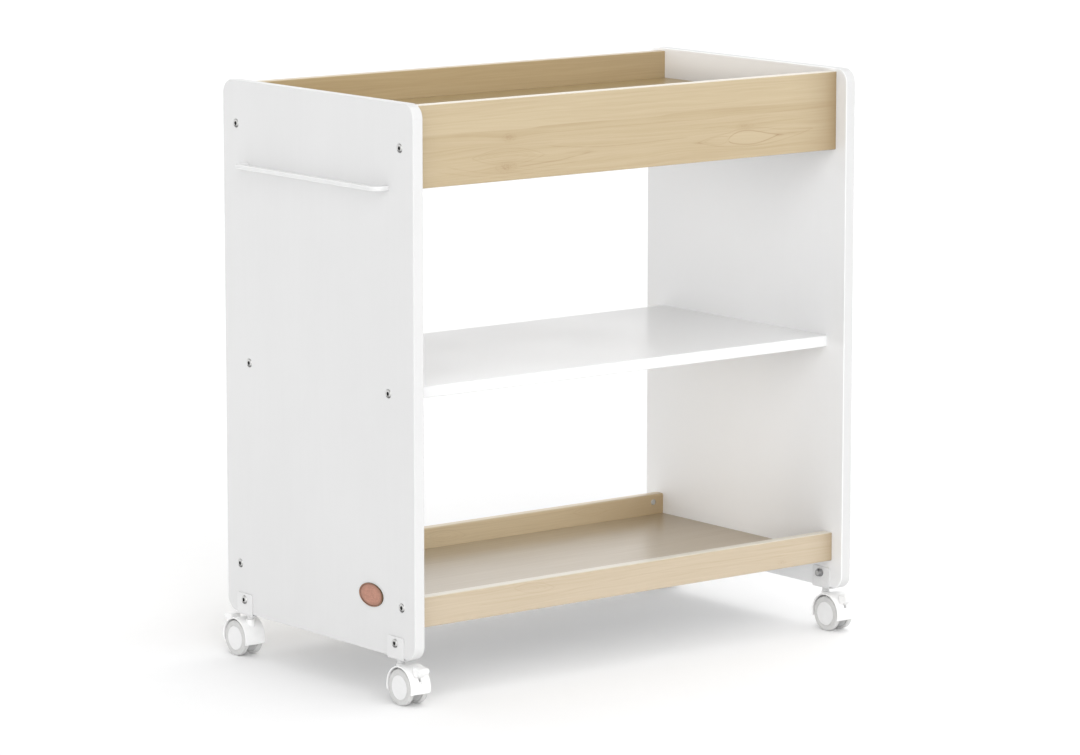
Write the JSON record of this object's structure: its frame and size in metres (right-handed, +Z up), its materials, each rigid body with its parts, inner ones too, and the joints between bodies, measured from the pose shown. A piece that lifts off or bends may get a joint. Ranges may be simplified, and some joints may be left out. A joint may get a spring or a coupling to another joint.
{
  "type": "changing table",
  "caption": "Open changing table with railed deck, middle shelf, bottom tray, side towel rail and braked twin-wheel castors under white side panels.",
  "frame": {"origin": "on the floor under the centre of the whole object, castors and towel rail included", "axes": "+Z up, +X along the width away from the towel rail, +Y to the back; the front faces -Y"},
  "size_m": [0.9244, 0.5304, 0.9273],
  "materials": {
    "white_board": "satin white lacquer on board",
    "white_shelf": "satin white lacquer on board",
    "solid_wood": "satin clear-coated light birch, fine straight grain",
    "veneered_board": "semi-gloss clear-coated light birch",
    "plain_wood": "bare light hardwood",
    "white_metal": "smooth white powder coat",
    "copper": "satin copper-coloured plate",
    "bolt_steel": "nickel-plated steel",
    "dark_steel": "blackened steel",
    "castor_plastic": "white moulded plastic",
    "hub_plastic": "pale grey-white moulded plastic",
    "grey_tread": "soft grey tread"
  },
  "bodies": {
    "cabinet": {"left_panel": "white_board", "right_panel": "white_board", "front_apron": "solid_wood", "back_apron": "solid_wood", "changing_deck": "veneered_board", "deck_cleats": "plain_wood", "cleat_screws": "bolt_steel", "middle_shelf": "white_shelf", "tray_board": "veneered_board", "front_lip": "solid_wood", "back_lip": "solid_wood", "wooden_dowels": "plain_wood", "apron_bolts": "bolt_steel", "shelf_bolts": "bolt_steel", "lip_bolts": "bolt_steel", "apron_barrel_nuts": "bolt_steel", "shelf_barrel_nuts": "bolt_steel", "lip_barrel_nuts": "bolt_steel", "towel_rail": "white_metal", "rail_screws": "bolt_steel", "badge_plate": "copper", "castor_bolts": "bolt_steel", "castor_nuts": "dark_steel", "front_left_bracket": "white_metal", "front_left_stem": "white_metal", "front_right_bracket": "white_metal", "front_right_stem": "white_metal", "rear_left_bracket": "white_metal", "rear_left_stem": "white_metal", "rear_right_bracket": "white_metal", "rear_right_stem": "white_metal"},
    "front_left_swivel_body": {"front_left_hood": "castor_plastic", "front_left_axle": "bolt_steel"},
    "front_left_outer_wheel_body": {"front_left_outer_wheel": "hub_plastic", "front_left_outer_tyre": "grey_tread"},
    "front_left_inner_wheel_body": {"front_left_inner_wheel": "hub_plastic", "front_left_inner_tyre": "grey_tread"},
    "front_left_brake_body": {"front_left_brake_lever": "castor_plastic"},
    "front_right_swivel_body": {"front_right_hood": "castor_plastic", "front_right_axle": "bolt_steel"},
    "front_right_outer_wheel_body": {"front_right_outer_wheel": "hub_plastic", "front_right_outer_tyre": "grey_tread"},
    "front_right_inner_wheel_body": {"front_right_inner_wheel": "hub_plastic", "front_right_inner_tyre": "grey_tread"},
    "front_right_brake_body": {"front_right_brake_lever": "castor_plastic"},
    "rear_left_swivel_body": {"rear_left_hood": "castor_plastic", "rear_left_axle": "bolt_steel"},
    "rear_left_outer_wheel_body": {"rear_left_outer_wheel": "hub_plastic", "rear_left_outer_tyre": "grey_tread"},
    "rear_left_inner_wheel_body": {"rear_left_inner_wheel": "hub_plastic", "rear_left_inner_tyre": "grey_tread"},
    "rear_left_brake_body": {"rear_left_brake_lever": "castor_plastic"},
    "rear_right_swivel_body": {"rear_right_hood": "castor_plastic", "rear_right_axle": "bolt_steel"},
    "rear_right_outer_wheel_body": {"rear_right_outer_wheel": "hub_plastic", "rear_right_outer_tyre": "grey_tread"},
    "rear_right_inner_wheel_body": {"rear_right_inner_wheel": "hub_plastic", "rear_right_inner_tyre": "grey_tread"},
    "rear_right_brake_body": {"rear_right_brake_lever": "castor_plastic"}
  },
  "joints": [
    {"name": "front_left_swivel", "type": "hinge", "parent": "cabinet", "child": "front_left_swivel_body", "pos_m": [-0.42565, -0.2033, 0.0563], "axis": [0, 0, 1], "continuous": true},
    {"name": "front_left_outer_roll", "type": "hinge", "parent": "front_left_swivel_body", "child": "front_left_outer_wheel_body", "pos_m": [-0.42565, -0.2223, 0.0285], "axis": [1, 0, 0], "continuous": true},
    {"name": "front_left_inner_roll", "type": "hinge", "parent": "front_left_swivel_body", "child": "front_left_inner_wheel_body", "pos_m": [-0.42565, -0.2223, 0.0285], "axis": [1, 0, 0], "continuous": true},
    {"name": "front_left_brake", "type": "hinge", "parent": "front_left_swivel_body", "child": "front_left_brake_body", "pos_m": [-0.42565, -0.2223, 0.0285], "axis": [1, 0, 0], "range_deg": [0, 16]},
    {"name": "front_right_swivel", "type": "hinge", "parent": "cabinet", "child": "front_right_swivel_body", "pos_m": [0.44335, -0.2033, 0.0563], "axis": [0, 0, 1], "continuous": true},
    {"name": "front_right_outer_roll", "type": "hinge", "parent": "front_right_swivel_body", "child": "front_right_outer_wheel_body", "pos_m": [0.44335, -0.2223, 0.0285], "axis": [1, 0, 0], "continuous": true},
    {"name": "front_right_inner_roll", "type": "hinge", "parent": "front_right_swivel_body", "child": "front_right_inner_wheel_body", "pos_m": [0.44335, -0.2223, 0.0285], "axis": [1, 0, 0], "continuous": true},
    {"name": "front_right_brake", "type": "hinge", "parent": "front_right_swivel_body", "child": "front_right_brake_body", "pos_m": [0.44335, -0.2223, 0.0285], "axis": [1, 0, 0], "range_deg": [0, 16]},
    {"name": "rear_left_swivel", "type": "hinge", "parent": "cabinet", "child": "rear_left_swivel_body", "pos_m": [-0.42565, 0.2033, 0.0563], "axis": [0, 0, 1], "continuous": true},
    {"name": "rear_left_outer_roll", "type": "hinge", "parent": "rear_left_swivel_body", "child": "rear_left_outer_wheel_body", "pos_m": [-0.42565, 0.2223, 0.0285], "axis": [1, 0, 0], "continuous": true},
    {"name": "rear_left_inner_roll", "type": "hinge", "parent": "rear_left_swivel_body", "child": "rear_left_inner_wheel_body", "pos_m": [-0.42565, 0.2223, 0.0285], "axis": [1, 0, 0], "continuous": true},
    {"name": "rear_left_brake", "type": "hinge", "parent": "rear_left_swivel_body", "child": "rear_left_brake_body", "pos_m": [-0.42565, 0.2223, 0.0285], "axis": [-1, 0, 0], "range_deg": [0, 16]},
    {"name": "rear_right_swivel", "type": "hinge", "parent": "cabinet", "child": "rear_right_swivel_body", "pos_m": [0.44335, 0.2033, 0.0563], "axis": [0, 0, 1], "continuous": true},
    {"name": "rear_right_outer_roll", "type": "hinge", "parent": "rear_right_swivel_body", "child": "rear_right_outer_wheel_body", "pos_m": [0.44335, 0.2223, 0.0285], "axis": [1, 0, 0], "continuous": true},
    {"name": "rear_right_inner_roll", "type": "hinge", "parent": "rear_right_swivel_body", "child": "rear_right_inner_wheel_body", "pos_m": [0.44335, 0.2223, 0.0285], "axis": [1, 0, 0], "continuous": true},
    {"name": "rear_right_brake", "type": "hinge", "parent": "rear_right_swivel_body", "child": "rear_right_brake_body", "pos_m": [0.44335, 0.2223, 0.0285], "axis": [-1, 0, 0], "range_deg": [0, 16]}
  ]
}
